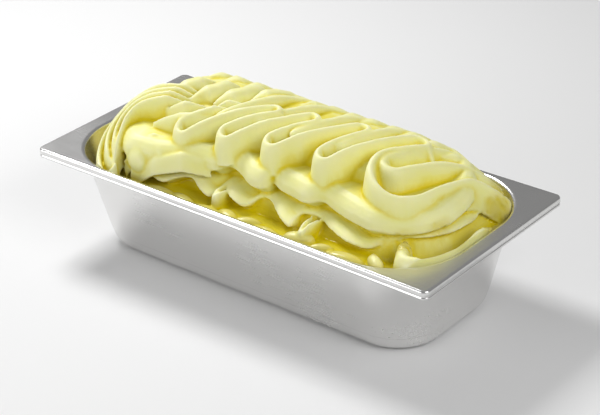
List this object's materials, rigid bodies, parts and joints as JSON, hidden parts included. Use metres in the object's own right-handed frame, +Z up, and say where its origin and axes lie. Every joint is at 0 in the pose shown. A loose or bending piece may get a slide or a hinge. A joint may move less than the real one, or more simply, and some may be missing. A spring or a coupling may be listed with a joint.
{
  "type": "gelato pan",
  "caption": "Rectangular stainless steel gelato pan with a wide flange, heaped with pale yellow gelato laid in wavy ribbon folds.",
  "frame": {"origin": "under the middle of the pan, on its flat bottom", "axes": "+X along the pan, +Y across it, +Z up out of its mouth"},
  "size_m": [0.36, 0.165, 0.128],
  "materials": {
    "steel": "satin",
    "gelato": "satin, moist and creamy"
  },
  "bodies": {
    "root": {"pan": "steel", "gelato": "gelato"}
  },
  "joints": []
}
